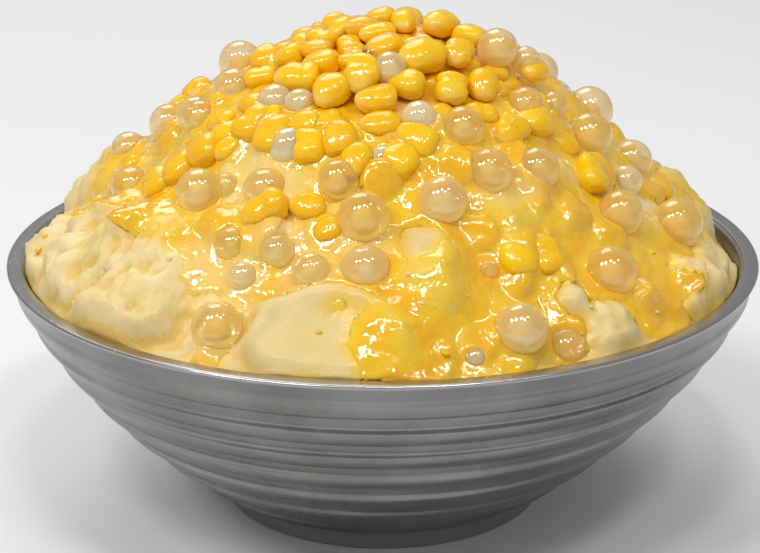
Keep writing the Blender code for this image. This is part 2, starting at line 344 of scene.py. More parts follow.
def make_bowl(finish):
    """The bowl turned from one profile: radius, height, and whether the ribs are there."""
    bearing = np.linspace(0, 360, BOWL_COLUMNS, endpoint=False)
    profile = []
    wall_depth = RIM_LEVEL - FOOT_HEIGHT - BASE_THICKNESS
    inner_floor = FOOT_HEIGHT + BASE_THICKNESS
    for radius in (12 * MM, 24 * MM, inner_radius(wall_depth) - 6 * MM):
        profile.append((radius, inner_floor, False))
    for depth in np.linspace(wall_depth - 2 * MM, 0.5 * MM, INNER_ROWS):
        profile.append((inner_radius(depth), RIM_LEVEL - depth, False))
    for turn in np.linspace(0, math.pi / 2, CORNER_STEPS):
        radius = RIM_RADIUS - WALL + RIM_ROUND * (1 - math.cos(turn))
        profile.append((radius, RIM_LEVEL - RIM_ROUND * (1 - math.sin(turn)), False))
    profile.append((RIM_RADIUS - WALL / 2, RIM_LEVEL, False))
    for turn in np.linspace(0, math.pi / 2, CORNER_STEPS):
        radius = RIM_RADIUS - RIM_ROUND * (1 - math.sin(turn))
        profile.append((radius, RIM_LEVEL - RIM_ROUND * (1 - math.cos(turn)), False))
    foot_depth = RIM_LEVEL - FOOT_HEIGHT
    for depth in np.linspace(1.2 * MM, foot_depth - 0.8 * MM, OUTER_ROWS):
        profile.append((outer_radius(depth), RIM_LEVEL - depth, True))
    foot = (
        (FOOT_RADIUS + 0.6 * MM, FOOT_HEIGHT + 0.2 * MM),
        (FOOT_RADIUS, FOOT_HEIGHT - 0.5 * MM),
        (FOOT_RADIUS, FOOT_EDGE),
        (FOOT_RADIUS - 0.3 * FOOT_EDGE, 0.3 * FOOT_EDGE),
        (FOOT_RADIUS - FOOT_EDGE, 0.0),
        (FOOT_RADIUS - FOOT_WALL + FOOT_EDGE, 0.0),
        (FOOT_RADIUS - FOOT_WALL, FOOT_EDGE),
        (FOOT_RADIUS - FOOT_WALL, FOOT_HEIGHT),
        (10 * MM, FOOT_HEIGHT),
    )
    profile.extend((radius, height, False) for radius, height in foot)
    rings = np.zeros((len(profile), BOWL_COLUMNS, 3))
    for row, (radius, height, ribbed) in enumerate(profile):
        if ribbed:
            radius = radius + rib_relief(RIM_LEVEL - height, bearing)
        x, y = plan(bearing, radius)
        rings[row, :, 0] = x
        rings[row, :, 1] = y
        rings[row, :, 2] = height
    mesh = skin("bowl_turned", rings, (0, 0, inner_floor), (0, 0, FOOT_HEIGHT))
    add_piece("bowl_turned", mesh, finish, "bowl", "bowl")


def metal_finish():
    metal = Finish("satin_metal", Metallic=1.0)
    cloud = metal.grain(26 * MM, 4, rough=0.6)
    streak = metal.grain(1.0, 3, metal.stretched(14, 14, 620), rough=0.6)
    colour = metal.mix(cloud.between(0.3, 0.75), (0.205, 0.198, 0.190), (0.30, 0.290, 0.281))
    height = metal.add("ShaderNodeSeparateXYZ", None, {"Vector": metal.place()}, 2)
    # Painted highlight and polish: the top of the rim is painted lighter and made smoother.
    rim_polish_and_highlight = height.between(RIM_LEVEL - 1.3 * MM, RIM_LEVEL - 0.2 * MM)
    # Painted reflection: the metal is painted lighter on the foot, as if it showed the bright floor.
    foot = 1 - height.between(FOOT_HEIGHT - 1.0 * MM, FOOT_HEIGHT + 3.0 * MM)
    colour = metal.mix(foot * 0.7, colour, (0.50, 0.49, 0.475))
    metal.feed("Base Color", metal.mix(rim_polish_and_highlight, colour, (0.46, 0.455, 0.45)))
    metal.feed("Roughness", 0.20 + 0.10 * cloud + 0.08 * streak - 0.04 * rim_polish_and_highlight)
    fine = metal.grain(1.0, 2, metal.stretched(30, 30, 2600))
    pits = metal.grain(0.9 * MM, 2).between(0.66, 0.78)
    dents = metal.grain(10 * MM, 1)
    metal.bump(streak * 0.7 + fine * 0.5 - pits * 0.8 + dents * 2.5, 0.10 * MM, 0.7)
    return metal


# Heap of ice

# Lumps: bearing, distance, half length round the bowl, half width up the slope,
# height, turn of the long side, and how sharp the edge is (0 soft, 1 sheer).
LUMPS = (
    (-54, 69, 25, 14, 4.6, 12, 0.45), (-42, 74, 13, 8, 6.2, 25, 0.55),
    (-63, 72, 11, 8, 6.0, -15, 0.5), (-80, 74, 15, 8, 3.8, -10, 0.4),
    (-50, 63, 12, 6, 5.4, 20, 0.5), (-70, 65, 10, 5, 4.4, 15, 0.5),
    (-8, 73.5, 19, 10.5, 5.4, -4, 0.86), (9, 63, 9.0, 9.5, 4.6, 24, 0.60),
    (38, 56, 10, 5.5, 1.8, -8, 0.3), (26, 54, 6, 7, 1.5, 40, 0.3), (33, 69, 3.6, 3.4, 2.8, 0, 0.5),
    (38, 75, 7.5, 5.5, 3.6, 20, 0.6), (47, 71, 4, 4, 2.4, 10, 0.6),
    (61, 71.5, 5.5, 5.0, 3.4, 30, 0.6), (70, 74.5, 13, 6.5, 4.4, 10, 0.45),
    (58, 77, 7, 4, 3.2, 0, 0.5), (100, 69, 16, 10, 3.8, -12, 0.5), (142, 60, 17, 11, 4.2, 10, 0.5),
    (183, 56, 15, 12, 4.0, -8, 0.5), (222, 60, 18, 10, 4.4, 14, 0.5),
    (258, 64, 13, 11, 3.6, 0, 0.5),
)

# Where the ice is fluffy and folded: bearing, distance, half length, half width, amount.
FLUFFY = (
    (-56, 71, 38, 15, 1.0), (-85, 74, 18, 9, 1.0), (68, 75, 18, 8, 0.6), (38, 74, 10, 7, 0.5),
    (110, 66, 30, 16, 0.8), (160, 60, 34, 18, 0.8), (215, 60, 36, 18, 0.9), (255, 66, 24, 14, 0.9),
)

# How far the sauce stands over the evened-out ice, in millimetres; it is dry at -1.6.
# Bearing, distance, half length round the bowl, half width up the slope, level.
DRY_LEVEL = -1.6
SAUCE = (
    (0, 0, 64, 58, 0.50), (25, 58, 36, 22, 0.65), (52, 66, 26, 16, 0.55), (16, 73, 15, 10, 0.65),
    (4, 74, 14, 11, 1.1), (-8, 60, 24, 10, 0.60), (-30, 60, 16, 10, 0.60), (-24, 69, 8, 10, 0.55),
    (-24.5, 77.5, 7.5, 5.5, 1.6), (-46, 58, 20, 7.0, 0.45), (49, 76, 9, 7, 1.0),
    (88, 60, 20, 16, 0.35), (-84, 54, 24, 13, 0.35), (180, 42, 46, 24, 0.25),
    (215, 60, 12, 8, 0.15), (150, 62, 12, 8, 0.15),
)
# Bare ice: bearing, distance, half length, half width, how far the sauce drops there.
DRY = (
    (-18, 75.5, 10.5, 10, 3.0), (-56, 73, 34, 10.0, 1.6), (7, 57.0, 4.5, 3.5, 1.6),
    (38, 75.5, 7.0, 5.0, 1.8), (33, 69, 2.8, 2.8, 1.2), (62, 71.5, 5.0, 4.0, 1.4),
    (72, 77, 13, 5.0, 1.8),
)


# Kernels that lie under the sauce: bearing, distance, half length, half width, turn.
DROWNED_HEIGHT = 2.1
DROWNED = (
    (30, 61, 4.6, 3.6, 30), (34, 63.5, 4.0, 3.4, -40), (25, 64, 4.2, 3.2, 70),
    (45, 56, 4.4, 3.4, 10), (51, 61, 4.2, 3.4, -30), (37, 51, 4.6, 3.4, 60), (20, 56, 4.0, 3.2, 0),
    (15, 73.5, 4.4, 3.6, 20), (9, 76, 4.0, 3.4, -20), (-25, 57, 4.6, 4.0, 40),
    (60, 73, 4.4, 3.4, 15), (48, 73, 4.2, 3.4, 60), (0, 46.5, 4.6, 3.4, 20),
    (20, 45, 4.2, 3.4, -10), (-36, 57, 4.2, 3.4, 10), (-53, 61, 4.6, 3.4, 30),
    (-68, 60, 4.2, 3.2, 10), (78, 59, 4.4, 3.4, -20), (64, 52, 4.0, 3.2, 40),
    (-80, 48, 4.4, 3.4, 0), (36, 45, 4.2, 3.2, 25), (130, 60, 4.4, 3.4, 10),
    (170, 47, 4.2, 3.4, 50), (205, 55, 4.4, 3.4, 20), (245, 60, 4.2, 3.2, -30),
)

# Thin film of sauce that follows the ice: bearing, distance, half length, half width, share.
FILM = (
    (3, 74, 11.5, 11, 1.0), (13, 64, 7, 8, 1.0), (4, 66, 8, 5, 0.8), (32, 55, 16, 9, 0.9),
    (-33, 45, 8, 6, 0.7), (60, 66, 9, 5, 0.8),
)
FILM_DEPTH = 0.28
# Milk that ran out round some pearls.
MILK = (
    (-27, 72, 9, 8, 1.0), (-26, 64, 5.5, 5, 1.0), (-14, 62, 8, 6, 0.8), (-34, 64, 9, 6, 0.8),
    (-5, 56, 9, 4, 0.7), (-33, 46, 9, 7, 0.8), (8, 34, 10, 6, 0.7), (66, 60, 7, 5, 0.6),
    (30, 50, 9, 4, 0.6), (-20, 57, 8, 5, 0.7), (180, 50, 16, 8, 0.6),
)


def reach_from(x, y, bearing, distance, half_length, half_width, turn=0.0):
    """0 at the middle of an oval patch on the heap, and 1 on its edge."""
    middle_x, middle_y = plan(bearing, distance)
    heading = math.radians(bearing + turn)
    along = (x - middle_x) * math.cos(heading) + (y - middle_y) * math.sin(heading)
    across = (x - middle_x) * math.sin(heading) - (y - middle_y) * math.cos(heading)
    return np.sqrt((along / half_length) ** 2 + (across / half_width) ** 2)


def patches(x, y, rows, soft=0.55):
    """The strongest of several oval patches at each point."""
    total = np.zeros_like(x)
    for bearing, distance, half_length, half_width, amount in rows:
        reach = reach_from(x, y, bearing, distance * MM, half_length * MM, half_width * MM)
        total = np.maximum(total, amount * (1 - smooth_step(1 - soft, 1 + soft * 0.4, reach)))
    return total


def ice_level(x, y):
    """Height of the heap's plain slope above the foot, without lumps."""
    distance = np.hypot(x, y)
    towards_back = 0.5 + 0.5 * y / np.maximum(distance, 1e-6)
    outward = np.minimum(distance / RIM_RADIUS, 1.0) ** 2
    drop = BACK_DROP * towards_back**3
    cone = CONE_LEVEL - distance - 0.5 * drop * outward
    crown = CROWN_LEVEL - CROWN_FALL * distance
    mound = smooth_min(cone, crown, CROWN_BLEND)
    return RIM_LEVEL - smooth_min(-mound, drop - SKIRT_LEVEL, SKIRT_BLEND)


def slope_normals(x, y):
    step = 2 * MM
    slope_x = (ice_level(x + step, y) - ice_level(x - step, y)) / (2 * step)
    slope_y = (ice_level(x, y + step) - ice_level(x, y - step)) / (2 * step)
    normals = np.stack((-slope_x, -slope_y, np.ones_like(x)), axis=-1)
    return normals / np.linalg.norm(normals, axis=-1, keepdims=True)


def heap_grid():
    """Plan positions of the heap's points, one row per ring and one column per bearing."""
    bearing = np.linspace(0, 360, COLUMNS, endpoint=False)
    low = np.full(COLUMNS, 0.5 * RIM_RADIUS)
    high = np.full(COLUMNS, RIM_RADIUS)
    for _ in range(30):
        middle = 0.5 * (low + high)
        depth = np.maximum(RIM_LEVEL - ice_level(*plan(bearing, middle)) - 1.5 * MM, 0.0)
        inside = middle < inner_radius(depth) - 0.3 * MM
        low = np.where(inside, middle, low)
        high = np.where(inside, high, middle)
    crown = np.linspace(0.004, CROWN_SHARE, CROWN_ROWS, endpoint=False)
    shares = np.concatenate((crown, np.linspace(CROWN_SHARE, 1.0, SLOPE_ROWS)))
    return plan(bearing[None, :], low[None, :] * shares[:, None])


def lumps(x, y, points):
    """Scoops and drifts: plateaus with rounded tops, whose outlines wander."""
    wander = LUMP_WANDER * rows_of_noise(points, LUMP_WANDER_SIZE, 3, 5.0)
    total = np.zeros_like(x)
    for bearing, distance, half_length, half_width, height, turn, sheer in LUMPS:
        reach = reach_from(x, y, bearing, distance * MM, half_length * MM, half_width * MM, turn)
        reach = reach + wander * (1 - 0.8 * sheer)
        edge = 0.75 - 0.62 * sheer
        top = 1 - 0.30 * np.minimum(reach, 1.0) ** 2
        total = np.maximum(total, height * MM * top * (1 - smooth_step(1 - edge, 1.0, reach)))
    return total


def swirled(points, swirl, inner, share):
    """Points drawn together along the slope and twisted round, so that noise on them runs up the slope."""
    distance = np.hypot(points[..., 0], points[..., 1])
    bearing = np.arctan2(points[..., 0], -points[..., 1]) + swirl * distance
    drawn = inner + share * distance
    return np.stack((drawn * np.sin(bearing), -drawn * np.cos(bearing), 0.3 * points[..., 2]), axis=-1)


def folds(points):
    """Soft folds that swoop up the slope, as whipped ice has them, with smaller ones in them."""
    drawn = swirled(points, 7.0, 30 * MM, 0.58)
    bent = drawn + wandering(drawn, 12 * MM, (1.0, 17.0, 31.0)) * 5 * MM
    broad = BROAD_FOLD_HEIGHT * ridges(bent, BROAD_FOLD_SIZE, 2.6, 3.0)
    return broad + SMALL_FOLD_HEIGHT * ridges(bent, SMALL_FOLD_SIZE, 2.2, 9.0)


def fine_creases(points):
    """Narrow creases that run up the slope, about -1 to 1."""
    drawn = swirled(points, 6.0, 50 * MM, 0.28)
    bent = drawn + wandering(points, 9 * MM, (4.0, 23.0, 37.0)) * 2.2 * MM
    return ridges(bent, 3.4 * MM, 2.4, 40.0)


def drowned_kernels(x, y):
    """Share of the heap's surface that is raised by kernels lying under the sauce."""
    total = np.zeros_like(x)
    for bearing, distance, half_length, half_width, turn in DROWNED:
        reach = reach_from(x, y, bearing, distance * MM, half_length * MM, half_width * MM, turn)
        total = np.maximum(total, np.sqrt(np.clip(1 - reach**2, 0, 1)))
    return total


def scoop_lip(x, y):
    """The curled edge of the front scoop and the shallow hollow that it leaves."""
    reach = reach_from(x, y, -8, 73.5 * MM, 19 * MM, 10.5 * MM, -4)
    upper = smooth_step(77 * MM, 71 * MM, np.hypot(x, y))
    lip = LIP_HEIGHT * np.exp(-(((reach - 0.82) / 0.09) ** 2)) * upper
    hollow = -HOLLOW_DEPTH * np.exp(-((reach / 0.60) ** 2))
    return lip + hollow


def blur(field, passes):
    """Evens out a field over the heap's grid, round each ring and along the slope."""
    for _ in range(passes):
        field = 0.25 * np.roll(field, 1, 1) + 0.5 * field + 0.25 * np.roll(field, -1, 1)
        above = np.vstack((field[:1], field[:-1]))
        below = np.vstack((field[1:], field[-1:]))
        field = 0.25 * above + 0.5 * field + 0.25 * below
    return field


def pearl_spots():
    """Centre and radius of every large pearl, from the CAD."""
    spots = []
    for name in sorted(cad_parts):
        if name.startswith("pearl"):
            low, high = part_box(name)
            spots.append((np.array((low + high) / 2), max(high - low) / 2))
    return spots


def ice_relief(x, y, base, fluffy):
    """How far the ice stands out of the heap's plain slope."""
    distance = np.hypot(x, y)
    height = lumps(x, y, base) + scoop_lip(x, y)
    smooth_front = 1 - patches(x, y, ((-9, 74, 17, 9, 1.0),)) * 0.85
    clods = rows_of_noise(base, CLOD_SIZE, 3, 21.0) * (1 - fluffy) * smooth_front
    height = height + CLOD_HEIGHT * clods * smooth_step(25 * MM, 40 * MM, distance)
    height = height + folds(base) * (0.12 + 0.88 * fluffy) * smooth_step(25 * MM, 45 * MM, distance)
    grain = rows_of_noise(base, GRAIN_SIZE, 3, 2.0)
    height = blur(height, 4) + GRAIN_HEIGHT * grain * (0.35 + 0.65 * smooth_front)
    height = height + CREASE_HEIGHT * fine_creases(base) * fluffy
    return height * (0.50 + 0.50 * smooth_step(0.0, 4.0 * MM, distance[-1:] - distance))


def heap_surfaces(balls, grains):
    """Points of the ice and of the sauce over it, with what their finishes need to know."""
    x, y = heap_grid()
    base = np.stack((x, y, ice_level(x, y)), axis=-1)
    normals = slope_normals(x, y)
    fluffy = patches(x, y, FLUFFY)
    height = ice_relief(x, y, base, fluffy)
    still = blur(height, 26)
    shares = [(*row[:4], row[4] - DRY_LEVEL) for row in SAUCE]
    level = patches(x, y, shares, 0.45) + DRY_LEVEL - patches(x, y, DRY, 0.45)
    broad = rows_of_noise(base, 9 * MM, 2, 12.0)
    ripple = rows_of_noise(base, 3.0 * MM, 2, 7.0)
    drowned = drowned_kernels(x, y)
    height = height + DROWNED_HEIGHT * MM * drowned
    sauce = still + (level + 0.22 * broad + 0.38 * ripple) * MM
    film = patches(x, y, FILM, 0.45)
    film = np.maximum(film, smooth_step(0.0, 0.25, drowned) * (level > -0.6))
    sauce = np.maximum(sauce, height + (FILM_DEPTH + 0.12 * ripple - 1.2 * (1 - film)) * MM)
    surface = base + normals * height[..., None]
    for centre, radius in balls:
        offset = base - centre
        above = np.sum(offset * normals, axis=-1)
        aside = np.linalg.norm(offset - normals * above[..., None], axis=-1)
        near = np.linalg.norm(surface - centre, axis=-1) - radius
        near = np.where(aside < 2.2 * radius, near, 1.0)
        sauce = sauce + MENISCUS_HEIGHT * np.exp(-np.maximum(near, 0) / MENISCUS_REACH)
        inside = np.maximum(-near, 0)
        height = height - BALL_SINK_SHARE * inside
        sauce = sauce - BALL_SINK_SHARE * inside
    for centre in grains:
        away = np.linalg.norm(surface - centre, axis=-1)
        past = np.maximum(away - KERNEL_REACH, 0)
        sauce = sauce + KERNEL_MENISCUS_HEIGHT * np.exp(-past / KERNEL_MENISCUS_REACH) * (away < 8 * MM)
    ice = hold_in_bowl(base + normals * height[..., None])
    sauce_top = hold_in_bowl(base + normals * sauce[..., None])
    over = (sauce - height) / MM
    # Painted shade: sunk says how far the ice lies below its evened-out level; as hollow it darkens the ice's
    # colour in hollows and creases.
    sunk = (still - height) / MM * 0.5 + (blur(height, 8) - height) / MM * 0.8
    facts = {
        "soak": np.clip(blur(smooth_step(-1.2, 0.2, over), 4), 0, 1),
        "milk": patches(x, y, MILK, 0.7),
        "drowned": drowned,
        "hollow": np.clip(sunk + 0.5, 0, 1.25),
        "depth": np.clip(over, 0, 4),
        "fluff": fluffy,
    }
    return ice, sauce_top, over, facts


def hold_in_bowl(points):
    """Keeps points off the wall of the bowl, and inside its rim."""
    distance = np.hypot(points[..., 0], points[..., 1])
    depth = np.maximum(RIM_LEVEL - points[..., 2], 0.0)
    limit = np.maximum(inner_radius(depth) - WALL_ROOM, 1 * MM)
    share = np.minimum(limit / np.maximum(distance, 1e-6), 1.0)
    held = points.copy()
    held[..., 0] *= share
    held[..., 1] *= share
    return held


def make_ice(ice, facts, finish):
    """The heap, carried on down the wall of the bowl and closed on its floor."""
    edge = ice[-1]
    bearing = np.degrees(np.arctan2(edge[:, 0], -edge[:, 1]))
    floor = FOOT_HEIGHT + BASE_THICKNESS + 0.4 * MM
    lower = []
    for share in (0.15, 0.5, 1.0):
        height = edge[:, 2] + (floor - edge[:, 2]) * share
        x, y = plan(bearing, inner_radius(RIM_LEVEL - height) - (0.5 + 6 * (share == 1.0)) * MM)
        lower.append(np.stack((x, y, height), axis=-1))
    rings = np.concatenate((ice, np.array(lower)))
    top = ice[0].mean(axis=0)
    mesh = skin("milk_ice", rings, top, (0, 0, floor))
    for name, values in facts.items():
        tail = np.repeat(values[-1:], len(lower), axis=0)
        all_rows = np.concatenate((values, tail)).ravel()
        store(mesh, name, np.concatenate((all_rows, [values[0].mean(), values[-1].mean()])))
    add_piece("milk_ice", mesh, finish, "ice", "shaved_ice")


def without_specks(cells):
    """Drops specks and corner-to-corner contacts, so that the body of sauce closes cleanly."""
    for _ in range(12):
        padded = np.pad(cells, ((1, 1), (0, 0)))
        around = -cells.astype(int)
        for down in (0, 1, 2):
            for across in (-1, 0, 1):
                around += np.roll(padded[down : down + len(cells)], across, 1)
        cells = cells & (around >= 4)
        below = np.vstack((cells[1:], np.zeros_like(cells[:1])))
        for side in (1, -1):
            cells = cells & ~(np.roll(below, side, 1) & ~below & ~np.roll(cells, side, 1))
    return cells


def make_sauce(sauce, ice, over, facts, finish):
    """The sauce: where its level stands above the ice, closed by an underside sunk in the ice."""
    rows, columns, _ = sauce.shape
    wet = over > -0.30
    cells = without_specks(wet[:-1] & wet[1:] & np.roll(wet, -1, 1)[:-1] & np.roll(wet, -1, 1)[1:])
    under = np.minimum(sauce[..., 2], ice[..., 2]) - 0.45 * MM
    beneath = np.concatenate((sauce[..., :2], under[..., None]), axis=-1)
    index = np.arange(rows * columns).reshape(rows, columns)
    after = np.roll(index, -1, 1)
    low = rows * columns
    faces = []
    for row, column in zip(*np.nonzero(cells)):
        a, b = index[row, column], index[row + 1, column]
        c, d = after[row + 1, column], after[row, column]
        faces.append((a, b, c, d))
        faces.append((low + d, low + c, low + b, low + a))
        sides = (
            (a, b, cells[row, column - 1]),
            (c, d, cells[row, (column + 1) % columns]),
            (d, a, row > 0 and cells[row - 1, column]),
            (b, c, row + 1 < rows - 1 and cells[row + 1, column]),
        )
        walls = [(first, second) for first, second, joined in sides if not joined]
        faces.extend((low + first, low + second, second, first) for first, second in walls)
    points = np.concatenate((sauce.reshape(-1, 3), beneath.reshape(-1, 3)))
    used = np.zeros(len(points), bool)
    used[np.unique(np.concatenate([np.array(face) for face in faces]))] = True
    order = np.cumsum(used) - 1
    mesh = bpy.data.meshes.new("custard_sauce")
    mesh.from_pydata(points[used].tolist(), [], [tuple(int(order[i]) for i in face) for face in faces])
    for name in ("depth", "milk", "drowned"):
        store(mesh, name, np.tile(facts[name].ravel(), 2)[used])
    add_piece("custard_sauce", mesh, finish, "ice")


def ice_finish():
    ice = Finish(
        "milk_ice",
        Subsurface_Weight=0.15,
        Subsurface_Scale=0.0015,
        Subsurface_Radius=(1.0, 0.72, 0.36),
        IOR=1.38,
    )
    soak = ice.measure("soak")
    hollow = ice.measure("hollow")
    patchy = ice.grain(9 * MM, 3)
    cream = ice.mix(patchy.between(0.35, 0.7), (0.82, 0.63, 0.27), (0.87, 0.72, 0.38))
    butter = ice.mix(patchy, (0.90, 0.54, 0.05), (0.92, 0.63, 0.11))
    cream = ice.mix((1 - ice.measure("fluff")) * 0.6, cream, (0.72, 0.54, 0.21))
    colour = ice.mix(soak.between(0.15, 0.95), cream, butter)
    colour = ice.mix(ice.measure("milk") * 0.7, colour, (0.92, 0.77, 0.46))
    # Painted shade: the ice is painted a darker, deeper yellow in its hollows and creases.
    colour = ice.mix(hollow.between(0.35, 1.25) * 0.75, colour, (0.80, 0.52, 0.10))
    ice.feed("Base Color", colour)
    ice.feed("Roughness", 0.42 - 0.24 * soak.between(0.1, 0.7))
    small = ice.grain(1.1 * MM, 3, rough=0.6)
    ice.bump(small, 0.24 * MM, 0.6)
    return ice


def sauce_finish():
    sauce = Finish(
        "custard_sauce",
        Subsurface_Weight=0.12,
        Subsurface_Scale=0.001,
        Subsurface_Radius=(1.0, 0.6, 0.15),
        IOR=1.42,
        Coat_Weight=1.0,
        Coat_Roughness=0.04,
    )
    depth = sauce.measure("depth")
    patchy = sauce.grain(6 * MM, 3)
    film = sauce.mix(patchy, (0.90, 0.56, 0.035), (0.92, 0.64, 0.085))
    thin = sauce.mix(patchy, (0.92, 0.52, 0.007), (0.94, 0.60, 0.022))
    thick = sauce.mix(patchy, (0.90, 0.42, 0.002), (0.93, 0.50, 0.005))
    colour = sauce.mix(depth.between(0.5, 2.0), sauce.mix(depth.between(0.0, 0.5), film, thin), thick)
    colour = sauce.mix(sauce.measure("drowned").between(0.1, 0.7) * 0.8, colour, (0.93, 0.48, 0.004))
    sauce.feed("Base Color", sauce.mix(sauce.measure("milk") * 0.6, colour, (0.94, 0.74, 0.33)))
    sauce.feed("Roughness", 0.07 + 0.08 * patchy)
    swell = sauce.grain(3.6 * MM, 2, warp=0.5)
    sauce.bump(swell, 0.9 * MM, 0.6)
    return sauce


# Toppings


def ball(segments, rings):
    """Points of a unit ball and its faces."""
    bm = bmesh.new()
    bmesh.ops.create_uvsphere(bm, u_segments=segments, v_segments=rings, radius=1.0)
    points = np.array([v.co for v in bm.verts])
    faces = [tuple(v.index for v in f.verts) for f in bm.faces]
    bm.free()
    return points, faces


class Pile:
    """Many small bodies of one kind, joined into one mesh."""

    def __init__(self, name):
        self.name = name
        self.points = []
        self.faces = []
        self.facts = {}
        self.count = 0

    def put(self, points, faces, **facts):
        self.points.append(points)
        self.faces.extend(tuple(index + self.count for index in face) for face in faces)
        self.count += len(points)
        for name, value in facts.items():
            values = np.broadcast_to(np.asarray(value, float), (len(points),))
            self.facts.setdefault(name, []).append(values)

    def build(self, finish, slot, *nodes):
        mesh = bpy.data.meshes.new(self.name)
        mesh.from_pydata([tuple(p) for p in np.concatenate(self.points)], [], self.faces)
        for name, values in self.facts.items():
            store(mesh, name, np.concatenate(values))
        add_piece(self.name, mesh, finish, slot, *nodes)


def moved(points, matrix):
    return points @ np.array(matrix.to_3x3()).T + np.array(matrix.translation)


# Small pearls, mostly sunk: bearing, distance, radius, how white, share sunk.
SMALL_PEARLS = (
    (0, 42.0, 3.3, 0.9, 0.35), (12, 35.5, 4.0, 0.9, 0.35), (-28, 41.5, 4.2, 0.8, 0.45),
    (-40, 50.5, 3.0, 0.0, 0.45), (-26, 64.0, 3.2, 0.5, 0.40), (-31, 59.2, 4.0, 0.0, 0.50),
    (71, 55.5, 3.6, 0.6, 0.40), (66, 39.0, 3.2, 0.1, 0.20), (3, 26.2, 3.6, 0.5, 0.40),
    (64, 27.0, 4.4, 0.2, 0.30), (72, 32.0, 3.2, 0.2, 0.30), (20, 62.0, 2.0, 0.0, 0.40),
    (14, 75.5, 2.6, 0.7, 0.45), (-70, 34.0, 4.6, 0.2, 0.40), (-42, 33.5, 4.0, 0.7, 0.40),
    (-32, 32.5, 3.6, 0.7, 0.40), (-95, 31.0, 5.0, 0.1, 0.30), (-75, 42.0, 4.4, 0.2, 0.45),
    (-88, 47.0, 4.6, 0.1, 0.40), (112, 38.0, 4.6, 0.2, 0.40), (150, 66.0, 4.2, 0.3, 0.40),
    (190, 62.0, 4.8, 0.1, 0.40), (215, 43.0, 4.0, 0.6, 0.40), (262, 58.0, 4.4, 0.2, 0.40),
)


def jelly_finish():
    jelly = Finish(
        "jelly",
        Subsurface_Weight=1.0,
        Subsurface_Scale=0.004,
        Subsurface_Radius=(1.0, 0.75, 0.45),
        IOR=1.45,
        Roughness=0.04,
        Coat_Weight=1.0,
        Coat_IOR=2.2,
        Coat_Roughness=0.02,
        Emission_Strength=0.14,
    )
    white = jelly.measure("white")
    facing = jelly.add("ShaderNodeLayerWeight", None, {"Blend": 0.30}, output="Facing")
    jelly.feed("Alpha", 0.36 + 0.58 * facing + 0.36 * white)
    normal = jelly.add("ShaderNodeNewGeometry", output="Normal")
    up = jelly.add("ShaderNodeSeparateXYZ", None, {"Vector": normal}, 2)
    patchy = jelly.grain(4 * MM, 2)
    # Painted light and shade: the pearls are painted lighter at the bottom, where light gathers through the
    # jelly, and darker at the top.
    shade = up.between(-0.6, 0.75)
    tan = jelly.mix(shade, (0.98, 0.74, 0.20), (0.76, 0.52, 0.11))
    milky = jelly.mix(shade, (1.0, 0.90, 0.62), (0.84, 0.70, 0.46))
    colour = jelly.mix(white, tan, milky)
    colour = jelly.mix(patchy.between(0.5, 0.8) * 0.5, colour, (0.97, 0.70, 0.16))
    # Painted light: the lower part of each pearl glows, standing in for light passing through the jelly.
    glow = jelly.mix(up.between(-0.75, 0.45), (1.0, 0.74, 0.34), (0.0, 0.0, 0.0))
    jelly.feed("Emission Color", glow)
    # Painted shade: the pearls' edges, where they turn away from the view, are painted a darker brown on
    # their upper half.
    rim = facing.between(0.55, 0.95) * shade * 0.8
    jelly.feed("Base Color", jelly.mix(rim, colour, (0.60, 0.34, 0.08)))
    return jelly


def heart_finish():
    heart = Finish("pearl_heart", Subsurface_Weight=1.0, Subsurface_Scale=0.003, Roughness=0.5)
    cloudy = heart.grain(2.5 * MM, 3)
    milky = heart.mix(cloudy, (0.95, 0.74, 0.22), (0.84, 0.57, 0.10))
    heart.feed("Base Color", heart.mix(heart.measure("white"), milky, (0.93, 0.88, 0.78)))
    heart.bump(cloudy, 0.1 * MM, 0.5)
    return heart


def make_pearls(balls, small, finish, heart):
    """Pearls as clear jelly round a cloudy heart that sits a little low."""
    shape, faces = ball(36, 24)
    draw = random.Random(SEED)
    nodes = [name for name in sorted(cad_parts) if name.startswith("pearl")]
    large = [(centre, radius, max(draw.uniform(-0.3, 0.4), 0)) for centre, radius in balls]
    hearts = Pile("pearl_hearts")
    for title, rows, replaced in (("jelly_pearls", large, nodes), ("small_pearls", small, ())):
        pile = Pile(title)
        for number, (centre, radius, white) in enumerate(rows):
            swell = 1 + 0.025 * rows_of_noise(shape, 0.9, 1, 50 + 3.0 * number)
            pile.put(centre + shape * radius * swell[:, None], faces, white=white)
            inner = shape * (0.94 + 0.1 * rows_of_noise(shape, 0.7, 2, 3.0 * number))[:, None]
            core = radius * draw.uniform(0.50, 0.68)
            low = np.array((0, 0.12, -0.22)) * radius
            hearts.put(centre + low + inner * core, faces, white=white)
        pile.build(finish, "jelly", *replaced)
    hearts.build(heart, "jelly")
